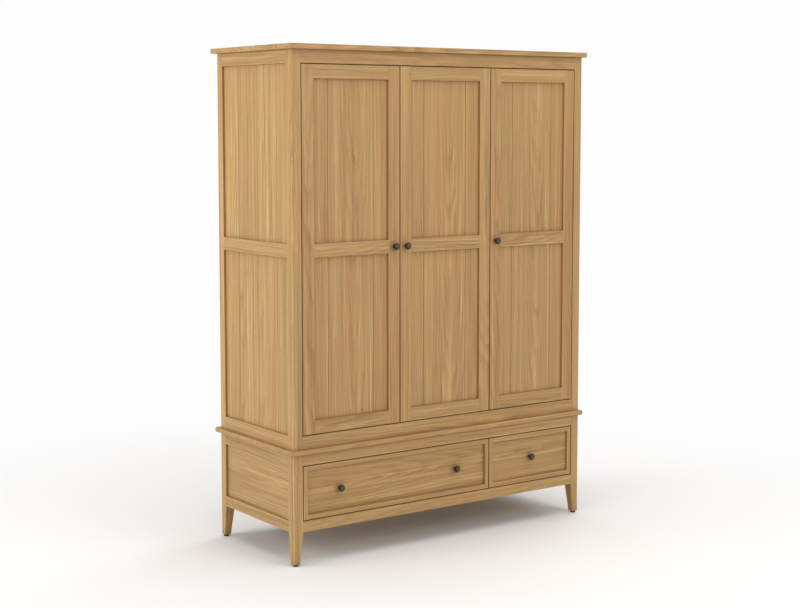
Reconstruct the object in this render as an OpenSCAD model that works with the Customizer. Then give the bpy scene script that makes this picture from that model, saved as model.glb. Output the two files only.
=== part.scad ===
// Oak wardrobe with three framed doors over one wide and one narrow drawer.
// The upper case stands on a base with tapered legs. Millimetres, +Z up.
// The front faces -Y. The origin is on the floor, in the middle of the bounding box.

/* [Overall] */
// Width over the outer faces of the posts
frame_w = 1455; // [1100:5:1900]
// Depth over the outer faces of the posts
frame_d = 570; // [440:5:720]
// Height from the floor to the top board
overall_h = 2000; // [1600:10:2400]
// Height of the base, up to the top of the waist board
base_h = 454; // [360:2:560]

/* [Boards] */
// Thickness of the top board and of the waist board
board_t = 20; // [14:1:30]
// Radius of the waist board's edges
nose_r = 6; // [2:0.5:6.5]
// How far both boards stand out at the front and at the sides
overhang = 15; // [5:1:30]
// How far both boards stand out at the back, clear of a skirting board
back_overhang = 25; // [5:1:40]
// Thickness of the floor board, the shelves, the partition and the divider
shelf_t = 18; // [12:1:26]

/* [Frames] */
// Width of a square post or leg
post_w = 40; // [34:1:60]
// Thickness of every frame rail
rail_t = 22; // [18:1:28]
// Height of the top and bottom rails of the upper case
case_rail_h = 52; // [36:1:80]
// Height of the rails of the base
base_rail_h = 43; // [30:1:60]
// Height of the side frames' middle rail
middle_rail_h = 54; // [36:1:80]
// Width of an upright in the back frame
muntin_w = 54; // [36:1:80]
// Thickness of a framed panel, and so of its groove
panel_t = 8; // [5:1:10]
// How far a panel lies behind the face of its frame
recess = 9; // [4:1:10]
// Depth of the grooves that hold the panels and the rails' tongues
groove_d = 9; // [6:1:12]
// Room left in a groove for the wood to move
groove_room = 1; // [0.5:0.5:2]
// Length of the tenons on the front rails
tenon_l = 18; // [10:1:20]

/* [Legs] */
// Height of the base rails above the floor
leg_clear = 131; // [90:1:180]
// Width of a leg at its foot
foot_w = 27; // [24:1:34]
// Diameter of a glide
glide_d = 22; // [16:1:24]
// Height of a glide
glide_h = 8; // [4:1:12]

/* [Doors] */
// Gap around the doors and the drawer fronts
gap = 3; // [2.5:0.1:4]
// Thickness of a door and of a drawer front
door_t = 22; // [20:1:26]
// Width of the doors' stiles and rails
door_frame_w = 54; // [40:1:80]
// Distance of a pivot from the door's edge and from its front face
pivot_inset = 5; // [4.5:0.1:5.2]
// Diameter of a pivot pin
pin_d = 5; // [3:0.5:6]
// Radial clearance of a pivot pin in its hole
pin_fit = 0.05; // [0.02:0.01:0.1]

/* [Drawers] */
// Width of the frame around a drawer front
drawer_frame_w = 20; // [16:1:32]
// Thickness of a drawer's sides, back and inner front
box_t = 14; // [10:1:18]
// Thickness of a drawer's bottom
bottom_t = 6; // [4:1:9]
// Room between a drawer box and the back of the base
box_back_gap = 26; // [15:1:60]
// Sliding clearance between a drawer box and its runners
slide_fit = 0.4; // [0.3:0.1:1]
// Clearance between a drawer box and its guides
guide_fit = 1; // [0.5:0.5:2]
// Distance of the wide drawer's knobs from the ends of its front
knob_end = 171; // [100:1:240]

/* [Knobs] */
// Diameter of a knob's head
knob_d = 28; // [22:1:34]
// Diameter of a knob's flat face
knob_face_d = 20; // [14:1:22]
// Diameter of a knob's neck
knob_neck_d = 10; // [8:0.5:14]
// Diameter of a knob's foot
knob_foot_d = 14; // [12:1:20]
// How far a knob stands out from what it is fixed to
knob_l = 25; // [20:1:32]
// Diameter of a knob's screw
screw_d = 4; // [3:0.5:5]

/* [Interior] */
// Height of the space over the hat shelf
hat_space_h = 280; // [200:5:400]
// Number of shelves in the narrow bay
shelf_count = 4; // [2:1:6]
// How far the shelves stop short of the doors
shelf_setback = 35; // [10:5:80]
// Diameter of the hanging rail
rail_d = 25; // [20:1:32]
// Distance of the hanging rail's centre below the hat shelf
rail_drop = 45; // [35:5:60]

/* [Hidden] */
$fn = 48;

oak = [0.74, 0.61, 0.42];
oak_side = [0.79, 0.66, 0.46];
oak_panel = [0.71, 0.57, 0.39];
bronze = [0.22, 0.18, 0.15];
steel = [0.62, 0.62, 0.60];
black = [0.05, 0.05, 0.05];

// Where the front of the frame lies, so that the origin is in the middle of the depth
front_reach = max(overhang, knob_l);
front_y = (front_reach - frame_d - back_overhang) / 2;

// Heights
leg_top = base_h - board_t;
case_top = overall_h - board_t;
drawer_z = leg_clear + base_rail_h;
drawer_top = leg_top - base_rail_h;
door_z = base_h + case_rail_h;
door_top = case_top - case_rail_h;
middle_z = (door_z + door_top) / 2;
hat_shelf_z = case_top - hat_space_h - shelf_t;

// Insides of the frames
inner_y = frame_d - rail_t;
post_y = frame_d - post_w;
opening_w = frame_w - 2 * post_w;

// Doors, drawer fronts and the room behind them
fronts_y = max(rail_t, door_t);
// The width is whole hundredths of a millimetre, so that faces that meet stay on one value
door_w = floor(100 * (opening_w - 4 * gap) / 3) / 100;
door_h = door_top - door_z - 2 * gap;
door_x = [for (i = [0:2]) post_w + gap + i * (door_w + gap)];
bay_x = door_x[2] - gap / 2;
wide_w = 2 * door_w + gap;
front_h = drawer_top - drawer_z - 2 * gap;
box_l = inner_y - door_t - box_back_gap;

// Grooves, tongues and tenons
tongue_l = groove_d - groove_room;
tenon_t = rail_t / 3;
tenon_shoulder = 6;
glue_line = 0.05;

// Stem of a glide
stem_d = 8;
stem_l = 18;

// Inside the base
runner_w = 30;
runner_h = 24;
guide_proud = 4;
guide_h = 50;
divider_setback = 3;
box_edge = 2;
bottom_z = 12;
bottom_groove = 6;
side_x = post_w + guide_proud + guide_fit;
divider_face = shelf_t / 2 + guide_fit;

// Inside the case
cleat_w = post_w - rail_t;
cleat_h = 22;
rail_cleat_h = 75;
rail_y = frame_d / 2;
rail_wall = 1.5;
socket_flange = 4;
socket_l = 14;
socket_wall = 3.5;
socket_fit = 0.1;

// Knobs and their screws
knob_foot_h = 2;
screw_reach = 12;
screw_head_h = 2.4;

// Pivots and catches
leaf_t = 2.5;
leaf_w = 10;
leaf_edge = 4;
leaf_l = door_frame_w - groove_d - 2;
pin_l = 8;
boss_d = 9;
boss_fit = 0.1;
plate_t = 1.5;
plate_w = 30;
plate_h = 20;
catch_fit = 0.4;
catch_w = 34;
catch_l = 16;
catch_drop = 24;

// ---------- Shared shapes ----------

// Moves a piece from the frame's front left floor corner into the part's frame
module placed() {
    translate([-frame_w / 2, front_y, 0]) children();
}

// A box between two opposite corners
module block(low, high) {
    translate(low) cube(high - low);
}

// Turns what faces the front into what faces the left side
module facing_left() {
    mirror([1, -1, 0]) children();
}

// Turns what faces the left side into what faces the right side
module facing_right() {
    translate([frame_w, 0, 0]) mirror([1, 0, 0]) children();
}

// Turns what faces the front into what faces the back
module facing_back() {
    translate([0, frame_d, 0]) mirror([0, 1, 0]) children();
}

// A rail between two uprights, with a tongue at each end for the uprights' grooves.
// The play is the glue line around its ends where both are pieces of one node.
module tongued_rail(x0, x1, z, h, t, groove_low = false, groove_high = false, play = 0) {
    difference() {
        union() {
            block([x0 + play, 0, z], [x1 - play, t, z + h]);
            block([x0 - tongue_l, recess + play, z],
                [x1 + tongue_l, recess + panel_t - play, z + h]);
        }
        if (groove_low)
            block([x0 - groove_d, recess, z - 1], [x1 + groove_d, recess + panel_t, z + groove_d]);
        if (groove_high)
            block([x0 - groove_d, recess, z + h - groove_d],
                [x1 + groove_d, recess + panel_t, z + h + 1]);
    }
}

// An upright with a groove in its right edge, and in its left edge too if both is set
module grooved_stile(x, z, w, h, t, both = false) {
    difference() {
        block([x, 0, z], [x + w, t, z + h]);
        block([x + w - groove_d, recess, z - 1], [x + w + 1, recess + panel_t, z + h + 1]);
        if (both)
            block([x - 1, recess, z - 1], [x + groove_d, recess + panel_t, z + h + 1]);
    }
}

// A panel for the opening between x0, x1, z0 and z1, with its edges in the grooves
module panel(x0, x1, z0, z1) {
    block([x0 - tongue_l, recess, z0 - tongue_l], [x1 + tongue_l, recess + panel_t, z1 + tongue_l]);
}

// A rail of the front frame between the posts, with a tenon at each end
module tenoned_rail(z, h) {
    block([post_w, 0, z], [frame_w - post_w, rail_t, z + h]);
    for (x = [post_w - tenon_l, frame_w - post_w])
        block([x, tenon_t, z + tenon_shoulder], [x + tenon_l, 2 * tenon_t, z + h - tenon_shoulder]);
}

// The mortise in a post's inner face for one such tenon
module mortise(z, h) {
    block([post_w - tenon_l - groove_room, tenon_t, z + tenon_shoulder],
        [post_w + 1, 2 * tenon_t, z + h - tenon_shoulder]);
}

// The groove in a post's inner side face, for the side frame
module side_groove(z0, z1) {
    block([recess, post_w - groove_d, z0], [recess + panel_t, post_w + 1, z1]);
}

// The groove in a rear post's inner back face, for the back frame
module back_groove(z0, z1) {
    block([post_w - groove_d, recess, z0], [post_w + 1, recess + panel_t, z1]);
}

// ---------- Base ----------

// Outline of a leg with one inner face, tapered below the rails
module leg_outline() {
    polygon([[0, glide_h], [foot_w, glide_h], [post_w, leg_clear], [post_w, leg_top], [0, leg_top]]);
}

// A leg whose two inner faces taper, with the hole for its glide
module leg_blank() {
    difference() {
        intersection() {
            translate([0, post_w, 0]) rotate([90, 0, 0]) linear_extrude(post_w) leg_outline();
            rotate([90, 0, 90]) linear_extrude(post_w) leg_outline();
        }
        translate([foot_w / 2, foot_w / 2, 0]) cylinder(d = stem_d, h = glide_h + stem_l + 1);
        side_groove(leg_clear, leg_top + 1);
    }
}

module front_leg() {
    difference() {
        leg_blank();
        mortise(leg_clear, base_rail_h);
        mortise(drawer_top, base_rail_h);
    }
}

module rear_leg() {
    difference() {
        leg_blank();
        back_groove(leg_clear, leg_top + 1);
    }
}

module leg_front_left() {
    color(oak) placed() front_leg();
}

module leg_front_right() {
    color(oak) placed() facing_right() front_leg();
}

module leg_rear_left() {
    color(oak) placed() facing_back() rear_leg();
}

module leg_rear_right() {
    color(oak) placed() facing_right() facing_back() rear_leg();
}

// Round glides, each with a stem in its leg
module glides() {
    color(black) placed()
        for (x = [foot_w / 2, frame_w - foot_w / 2], y = [foot_w / 2, frame_d - foot_w / 2])
            translate([x, y, 0]) {
                cylinder(d = glide_d, h = glide_h);
                cylinder(d = stem_d, h = glide_h + stem_l);
            }
}

module base_front_rails() {
    color(oak) placed() {
        tenoned_rail(leg_clear, base_rail_h);
        tenoned_rail(drawer_top, base_rail_h);
    }
}

// The base's rails across the width or the depth, seen from outside
module base_rail_pair(length) {
    tongued_rail(post_w, length - post_w, leg_clear, base_rail_h, rail_t, groove_high = true);
    tongued_rail(post_w, length - post_w, drawer_top, base_rail_h, rail_t, groove_low = true);
}

module base_side_rails() {
    color(oak_side) placed() {
        facing_left() base_rail_pair(frame_d);
        facing_right() facing_left() base_rail_pair(frame_d);
    }
}

module base_side_panels() {
    color(oak_side) placed() {
        facing_left() panel(post_w, post_y, drawer_z, drawer_top);
        facing_right() facing_left() panel(post_w, post_y, drawer_z, drawer_top);
    }
}

module base_back_rails() {
    color(oak) placed() facing_back() base_rail_pair(frame_w);
}

module base_back_panel() {
    color(oak_panel) placed() facing_back() panel(post_w, frame_w - post_w, drawer_z, drawer_top);
}

// Bearers that the drawer boxes slide on, and guides beside them at the ends of the base
module drawer_runners() {
    guide_w = cleat_w + guide_proud;
    color(oak_panel) placed() {
        for (x = [post_w, frame_w - post_w - runner_w])
            block([x, rail_t, drawer_z - runner_h], [x + runner_w, inner_y, drawer_z]);
        block([bay_x - runner_w, rail_t, drawer_z - runner_h], [bay_x + runner_w, inner_y, drawer_z]);
        for (x = [rail_t, frame_w - rail_t - guide_w])
            block([x, post_w, drawer_z + glue_line], [x + guide_w, post_y, drawer_z + guide_h]);
    }
}

// Left edges of the kickers: beside the legs, and on both faces of the divider
kicker_x = [
    post_w,
    bay_x - shelf_t / 2 - runner_w,
    bay_x + shelf_t / 2,
    frame_w - post_w - runner_w
];

// Strips above the drawer boxes that stop a pulled drawer from tipping
module drawer_kickers() {
    color(oak_panel) placed()
        for (x = kicker_x)
            block([x, rail_t, drawer_top], [x + runner_w, inner_y, leg_top]);
}

// Upright board between the drawers, hidden behind their fronts
module drawer_divider() {
    color(oak_panel) placed()
        block([bay_x - shelf_t / 2, fronts_y + divider_setback, drawer_z],
            [bay_x + shelf_t / 2, inner_y, leg_top]);
}

// Section of a board with rounded edges at low and at high
module nosed_section(low, high) {
    translate([low, nose_r]) square([high - low, board_t - 2 * nose_r]);
    translate([low + nose_r, 0]) square([high - low - 2 * nose_r, board_t]);
    for (x = [low + nose_r, high - nose_r], z = [nose_r, board_t - nose_r])
        translate([x, z]) circle(nose_r);
}

// Board with rounded edges on all four sides, mitred at its corners
module waist_board() {
    color(oak) placed() translate([0, 0, leg_top]) intersection() {
        translate([0, frame_d + back_overhang, 0]) rotate([90, 0, 0])
            linear_extrude(frame_d + back_overhang + overhang)
                nosed_section(-overhang, frame_w + overhang);
        translate([-overhang, 0, 0]) rotate([90, 0, 90])
            linear_extrude(frame_w + 2 * overhang)
                nosed_section(-overhang, frame_d + back_overhang);
    }
}

// ---------- Upper case ----------

module front_post() {
    difference() {
        block([0, 0, base_h], [post_w, post_w, case_top]);
        side_groove(base_h - 1, case_top + 1);
        mortise(base_h, case_rail_h);
        mortise(door_top, case_rail_h);
    }
}

module rear_post() {
    difference() {
        block([0, 0, base_h], [post_w, post_w, case_top]);
        side_groove(base_h - 1, case_top + 1);
        back_groove(base_h - 1, case_top + 1);
    }
}

module post_front_left() {
    color(oak) placed() front_post();
}

module post_front_right() {
    color(oak) placed() facing_right() front_post();
}

module post_rear_left() {
    color(oak) placed() facing_back() rear_post();
}

module post_rear_right() {
    color(oak) placed() facing_right() facing_back() rear_post();
}

// Top and bottom rails of the front, with shallow housings for the pivot leaves
module case_front_rails() {
    color(oak) placed() difference() {
        union() {
            tenoned_rail(base_h, case_rail_h);
            tenoned_rail(door_top, case_rail_h);
        }
        for (i = [0:2])
            at_pivot(i) {
                leaf_housing(door_z - leaf_t, leaf_t + 1);
                leaf_housing(door_top - 1, leaf_t + 1);
            }
    }
}

// The three rails of a side of the case, seen from outside
module side_rails() {
    tongued_rail(post_w, post_y, base_h, case_rail_h, rail_t, groove_high = true);
    tongued_rail(post_w, post_y, middle_z - middle_rail_h / 2, middle_rail_h, rail_t, true, true);
    tongued_rail(post_w, post_y, door_top, case_rail_h, rail_t, groove_low = true);
}

// The two panels of a side of the case, seen from outside
module side_panels() {
    panel(post_w, post_y, door_z, middle_z - middle_rail_h / 2);
    panel(post_w, post_y, middle_z + middle_rail_h / 2, door_top);
}

module case_side_rails() {
    color(oak_side) placed() {
        facing_left() side_rails();
        facing_right() facing_left() side_rails();
    }
}

module case_side_panels() {
    color(oak_side) placed() {
        facing_left() side_panels();
        facing_right() facing_left() side_panels();
    }
}

// Left edges of the back frame's two uprights, in line with the gaps between the doors
muntin_x = [for (i = [1, 2]) door_x[i] - gap / 2 - muntin_w / 2];

// An upright between two rails, with both edges grooved and a tongue at each end
module muntin(x, z0, z1) {
    grooved_stile(x, z0, muntin_w, z1 - z0, rail_t, both = true);
    block([x + groove_d, recess + glue_line, z0 - tongue_l + groove_room],
        [x + muntin_w - groove_d, recess + panel_t - glue_line, z1 + tongue_l - groove_room]);
}

// Rails and uprights of the back, seen from outside
module back_frame() {
    color(oak) placed() facing_back() {
        tongued_rail(post_w, frame_w - post_w, base_h, case_rail_h, rail_t, groove_high = true);
        tongued_rail(post_w, frame_w - post_w, door_top, case_rail_h, rail_t, groove_low = true);
        for (x = muntin_x)
            muntin(x, door_z + glue_line, door_top - glue_line);
    }
}

// The three panels of the back
module back_panels() {
    color(oak_panel) placed() facing_back() {
        panel(post_w, muntin_x[0], door_z, door_top);
        panel(muntin_x[0] + muntin_w, muntin_x[1], door_z, door_top);
        panel(muntin_x[1] + muntin_w, frame_w - post_w, door_z, door_top);
    }
}

// Board notched around the four posts
module floor_board() {
    color(oak_panel) placed() {
        block([rail_t, post_w, door_z - shelf_t], [frame_w - rail_t, post_y, door_z]);
        block([post_w, rail_t, door_z - shelf_t], [frame_w - post_w, inner_y, door_z]);
    }
}

// Upright board between the wide bay and the narrow bay
module partition() {
    color(oak_panel) placed()
        block([bay_x - shelf_t / 2, fronts_y + divider_setback, door_z],
            [bay_x + shelf_t / 2, inner_y, case_top]);
}

// A shelf from the left side of the case to the partition, notched around the rear post
module shelf_blank(width, z) {
    y0 = fronts_y + shelf_setback;
    block([rail_t, max(y0, post_w), z], [rail_t + width, post_y, z + shelf_t]);
    block([post_w, y0, z], [rail_t + width, inner_y, z + shelf_t]);
}

// Shelf over the hanging rail in the wide bay
module hat_shelf() {
    color(oak_panel) placed() shelf_blank(bay_x - shelf_t / 2 - rail_t, hat_shelf_z);
}

// Heights of the undersides of the narrow bay's shelves
narrow_pitch = (case_top - door_z - shelf_count * shelf_t) / (shelf_count + 1);
narrow_z = [for (i = [1:shelf_count]) door_z + i * narrow_pitch + (i - 1) * shelf_t];

// Shelves of the narrow bay
module narrow_shelves() {
    color(oak_panel) placed() facing_right()
        for (z = narrow_z)
            shelf_blank(frame_w - rail_t - bay_x - shelf_t / 2, z);
}

// Strips under the ends of the shelves, between the posts and on the partition
module shelf_cleats() {
    y0 = max(fronts_y + shelf_setback, post_w);
    face = bay_x - shelf_t / 2;
    color(oak) placed() {
        block([rail_t, post_w, hat_shelf_z - rail_cleat_h], [post_w, post_y, hat_shelf_z]);
        block([face - cleat_w, y0, hat_shelf_z - rail_cleat_h], [face, post_y, hat_shelf_z]);
        for (z = narrow_z) {
            block([frame_w - post_w, post_w, z - cleat_h], [frame_w - rail_t, post_y, z]);
            block([face + shelf_t, y0, z - cleat_h], [face + shelf_t + cleat_w, post_y, z]);
        }
    }
}

// Where the hanging rail starts and ends: the faces of the two deep cleats
rail_x = [post_w, bay_x - shelf_t / 2 - cleat_w];

// Puts a cylinder along X on the hanging rail's axis, starting at x
module on_rail_axis(x) {
    translate([x, rail_y, hat_shelf_z - rail_drop]) rotate([0, 90, 0]) children();
}

// Steel tube for hangers
module hanging_rail() {
    length = rail_x[1] - rail_x[0] - 2 * socket_flange;
    color(steel) placed() on_rail_axis(rail_x[0] + socket_flange) difference() {
        cylinder(d = rail_d, h = length);
        translate([0, 0, -1]) cylinder(d = rail_d - 2 * rail_wall, h = length + 2);
    }
}

// A flanged cup for one end of the hanging rail, with its foot at 0
module rail_socket() {
    difference() {
        union() {
            cylinder(d = rail_d + 8 * socket_wall, h = socket_flange);
            cylinder(d = rail_d + 2 * socket_wall, h = socket_flange + socket_l);
        }
        translate([0, 0, socket_flange]) cylinder(d = rail_d + 2 * socket_fit, h = socket_l + 1);
    }
}

module rail_sockets() {
    color(steel) placed() {
        on_rail_axis(rail_x[0]) rail_socket();
        on_rail_axis(rail_x[1]) mirror([0, 0, 1]) rail_socket();
    }
}

module top_board() {
    color(oak) placed()
        block([-overhang, -overhang, case_top],
            [frame_w + overhang, frame_d + back_overhang, overall_h]);
}

// ---------- Pivots and catches ----------

// Door 0 turns on its left edge, doors 1 and 2 on their right edges
module at_pivot(i) {
    if (i == 0)
        translate([door_x[0] + pivot_inset, pivot_inset, 0]) children();
    else
        translate([door_x[i] + door_w - pivot_inset, pivot_inset, 0]) mirror([1, 0, 0]) children();
}

// A flat leaf that lies towards +X from the pivot
module leaf(z) {
    translate([-leaf_edge, -leaf_edge, z]) cube([leaf_l, leaf_w, leaf_t]);
}

// The housing for a leaf, cut h deep from z
module leaf_housing(z, h) {
    translate([-leaf_edge, -leaf_edge, z]) cube([leaf_l, leaf_w, h]);
}

// Leaves let into the rails, each with a boss and a pin for its door
module pivot_leaves() {
    color(steel) placed() for (i = [0:2]) at_pivot(i) {
        leaf(door_z - leaf_t);
        translate([0, 0, door_z]) cylinder(d = boss_d, h = gap - boss_fit);
        translate([0, 0, door_z]) cylinder(d = pin_d, h = gap + pin_l);
        leaf(door_top);
        translate([0, 0, door_top - gap + boss_fit]) cylinder(d = boss_d, h = gap - boss_fit);
        translate([0, 0, door_top - gap - pin_l]) cylinder(d = pin_d, h = gap + pin_l);
    }
}

// Middle of the stile that carries a door's knob and catch
function knob_x(i) = i == 0 ? door_x[0] + door_w - door_frame_w / 2 : door_x[i] + door_frame_w / 2;

// Magnetic catches behind the top rail
module door_catches() {
    y0 = max(rail_t, door_t + plate_t + catch_fit);
    color(black) placed() for (i = [0:2]) translate([knob_x(i) - catch_w / 2, 0, 0]) {
        block([0, y0, door_top - catch_drop], [catch_w, y0 + catch_l, door_top + catch_drop]);
        block([0, rail_t, door_top], [catch_w, y0, door_top + catch_drop]);
    }
}

// ---------- Doors ----------

// The pin's hole and the leaf's housing at both ends of a door's hinge stile
module pivot_cuts(i) {
    low = door_z + gap;
    high = door_top - gap;
    at_pivot(i) {
        leaf_housing(low - 1, leaf_t + 1);
        leaf_housing(high - leaf_t, leaf_t + 1);
        translate([0, 0, low - 1]) cylinder(d = pin_d + 2 * pin_fit, h = pin_l + 2);
        translate([0, 0, high - pin_l - 1]) cylinder(d = pin_d + 2 * pin_fit, h = pin_l + 2);
    }
}

// The clearance hole for a knob's screw, through everything at x and z
module screw_hole(x, z) {
    translate([x, -1, z]) rotate([-90, 0, 0]) cylinder(d = screw_d + 1, h = frame_d / 4);
}

module door_stiles(i) {
    color(oak) placed() difference() {
        union() {
            grooved_stile(door_x[i], door_z + gap, door_frame_w, door_h, door_t);
            translate([2 * door_x[i] + door_w, 0, 0]) mirror([1, 0, 0])
                grooved_stile(door_x[i], door_z + gap, door_frame_w, door_h, door_t);
        }
        pivot_cuts(i);
        screw_hole(knob_x(i), middle_z);
    }
}

module door_rails(i) {
    x0 = door_x[i] + door_frame_w;
    x1 = door_x[i] + door_w - door_frame_w;
    w = door_frame_w;
    color(oak) placed() {
        tongued_rail(x0, x1, door_z + gap, w, door_t, groove_high = true);
        tongued_rail(x0, x1, middle_z - w / 2, w, door_t, true, true);
        tongued_rail(x0, x1, door_top - gap - w, w, door_t, groove_low = true);
    }
}

module door_panels(i) {
    x0 = door_x[i] + door_frame_w;
    x1 = door_x[i] + door_w - door_frame_w;
    w = door_frame_w;
    color(oak_panel) placed() {
        panel(x0, x1, door_z + gap + w, middle_z - w / 2);
        panel(x0, x1, middle_z + w / 2, door_top - gap - w);
    }
}

// A turned knob that stands out towards -Y from y, with the hole for its screw
module knob(x, y, z) {
    rim_low = knob_l * 0.6;
    rim_high = knob_l * 0.75;
    translate([x, y, z]) rotate([90, 0, 0]) difference() {
        union() {
            cylinder(d = knob_foot_d, h = knob_foot_h);
            cylinder(d = knob_neck_d, h = rim_low);
            translate([0, 0, rim_low / 2]) cylinder(d1 = knob_neck_d, d2 = knob_d, h = rim_low / 2);
            translate([0, 0, rim_low]) cylinder(d = knob_d, h = rim_high - rim_low);
            translate([0, 0, rim_high])
                cylinder(d1 = knob_d, d2 = knob_face_d, h = knob_l - rim_high);
        }
        translate([0, 0, -1]) cylinder(d = screw_d, h = screw_reach + 1);
    }
}

// The screw of a knob on y, with its head behind y_back
module knob_screw(x, y, z, y_back) {
    translate([x, y_back, z]) rotate([90, 0, 0])
        cylinder(d = screw_d, h = y_back - y + screw_reach);
    translate([x, y_back, z]) rotate([-90, 0, 0]) cylinder(d = 2 * screw_d, h = screw_head_h);
}

module door_knob(i) {
    color(bronze) placed() knob(knob_x(i), 0, middle_z);
}

// Leaves in the ends of the hinge stile, the catch's plate and the knob's screw
module door_fittings(i) {
    color(steel) placed() {
        at_pivot(i) difference() {
            union() {
                leaf(door_z + gap);
                leaf(door_top - gap - leaf_t);
            }
            translate([0, 0, door_z]) cylinder(d = pin_d + 2 * pin_fit, h = door_top - door_z);
        }
        translate([knob_x(i) - plate_w / 2, door_t, door_top - gap - plate_h - 1])
            cube([plate_w, plate_t, plate_h]);
        knob_screw(knob_x(i), 0, middle_z, door_t);
    }
}

module left_door_stiles() { door_stiles(0); }
module left_door_rails() { door_rails(0); }
module left_door_panels() { door_panels(0); }
module left_door_knob() { door_knob(0); }
module left_door_fittings() { door_fittings(0); }
module middle_door_stiles() { door_stiles(1); }
module middle_door_rails() { door_rails(1); }
module middle_door_panels() { door_panels(1); }
module middle_door_knob() { door_knob(1); }
module middle_door_fittings() { door_fittings(1); }
module right_door_stiles() { door_stiles(2); }
module right_door_rails() { door_rails(2); }
module right_door_panels() { door_panels(2); }
module right_door_knob() { door_knob(2); }
module right_door_fittings() { door_fittings(2); }

// ---------- Drawers ----------

// Stiles and rails of a drawer front that starts at x and is w wide
module drawer_frame(x, w) {
    f = drawer_frame_w;
    z = drawer_z + gap;
    color(oak) placed() {
        grooved_stile(x, z, f, front_h, door_t);
        translate([2 * x + w, 0, 0]) mirror([1, 0, 0]) grooved_stile(x, z, f, front_h, door_t);
        tongued_rail(x + f, x + w - f, z, f, door_t, groove_high = true, play = glue_line);
        tongued_rail(x + f, x + w - f, z + front_h - f, f, door_t, groove_low = true,
            play = glue_line);
    }
}

// Height of the drawers' knobs
drawer_knob_z = (drawer_z + drawer_top) / 2;

// Panel of a drawer front, with holes for the knobs' screws
module drawer_panel(x, w, knobs) {
    f = drawer_frame_w;
    color(oak_panel) placed() difference() {
        panel(x + f, x + w - f, drawer_z + gap + f, drawer_z + gap + front_h - f);
        for (k = knobs)
            screw_hole(k, drawer_knob_z);
    }
}

// Sides, back and inner front of a drawer between x0 and x1, grooved for its bottom
module drawer_box(x0, x1, knobs) {
    z0 = drawer_z + slide_fit;
    z1 = drawer_top - gap;
    y0 = door_t;
    y1 = door_t + box_l;
    zb = z0 + bottom_z;
    color(oak_panel) placed() difference() {
        union() {
            block([x0, y0, z0], [x0 + box_t, y1, z1]);
            block([x1 - box_t, y0, z0], [x1, y1, z1]);
            block([x0 + box_t + glue_line, y0, z0 + box_edge],
                [x1 - box_t - glue_line, y0 + box_t, z1 - box_edge]);
            block([x0 + box_t + glue_line, y1 - box_t, zb + bottom_t],
                [x1 - box_t - glue_line, y1, z1 - box_edge]);
        }
        block([x0 + box_t - bottom_groove, y0 + box_t - bottom_groove, zb],
            [x1 - box_t + bottom_groove, y1 + 1, zb + bottom_t]);
        for (k = knobs)
            screw_hole(k, drawer_knob_z);
    }
}

// Bottom of a drawer, slid into the grooves under its back
module drawer_bottom(x0, x1) {
    in = box_t - bottom_groove + groove_room / 2;
    z = drawer_z + slide_fit + bottom_z;
    color(oak_side) placed()
        block([x0 + in, door_t + in, z], [x1 - in, door_t + box_l, z + bottom_t]);
}

module drawer_knobs(knobs) {
    color(bronze) placed()
        for (k = knobs)
            knob(k, recess, drawer_knob_z);
}

module drawer_screws(knobs) {
    color(steel) placed()
        for (k = knobs)
            knob_screw(k, recess, drawer_knob_z, door_t + box_t);
}

wide_knobs = [door_x[0] + knob_end, door_x[0] + wide_w - knob_end];
narrow_knobs = [door_x[2] + door_w / 2];

module wide_drawer_frame() { drawer_frame(door_x[0], wide_w); }
module wide_drawer_panel() { drawer_panel(door_x[0], wide_w, wide_knobs); }
module wide_drawer_box() { drawer_box(side_x, bay_x - divider_face, wide_knobs); }
module wide_drawer_bottom() { drawer_bottom(side_x, bay_x - divider_face); }
module wide_drawer_knobs() { drawer_knobs(wide_knobs); }
module wide_drawer_screws() { drawer_screws(wide_knobs); }
module narrow_drawer_frame() { drawer_frame(door_x[2], door_w); }
module narrow_drawer_panel() { drawer_panel(door_x[2], door_w, narrow_knobs); }
module narrow_drawer_box() { drawer_box(bay_x + divider_face, frame_w - side_x, narrow_knobs); }
module narrow_drawer_bottom() { drawer_bottom(bay_x + divider_face, frame_w - side_x); }
module narrow_drawer_knob() { drawer_knobs(narrow_knobs); }
module narrow_drawer_screw() { drawer_screws(narrow_knobs); }

leg_front_left();
leg_front_right();
leg_rear_left();
leg_rear_right();
glides();
base_front_rails();
base_side_rails();
base_side_panels();
base_back_rails();
base_back_panel();
drawer_runners();
drawer_kickers();
drawer_divider();
waist_board();
post_front_left();
post_front_right();
post_rear_left();
post_rear_right();
case_front_rails();
case_side_rails();
case_side_panels();
back_frame();
back_panels();
floor_board();
partition();
hat_shelf();
narrow_shelves();
shelf_cleats();
hanging_rail();
rail_sockets();
top_board();
pivot_leaves();
door_catches();
left_door_stiles();
left_door_rails();
left_door_panels();
left_door_knob();
left_door_fittings();
middle_door_stiles();
middle_door_rails();
middle_door_panels();
middle_door_knob();
middle_door_fittings();
right_door_stiles();
right_door_rails();
right_door_panels();
right_door_knob();
right_door_fittings();
wide_drawer_frame();
wide_drawer_panel();
wide_drawer_box();
wide_drawer_bottom();
wide_drawer_knobs();
wide_drawer_screws();
narrow_drawer_frame();
narrow_drawer_panel();
narrow_drawer_box();
narrow_drawer_bottom();
narrow_drawer_knob();
narrow_drawer_screw();
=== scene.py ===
# Free-standing oak wardrobe: a base on tapered legs with a wide and a narrow drawer, and an
# upper case with three framed doors. The sections follow the order in which it is put together.
import math
import random

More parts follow.
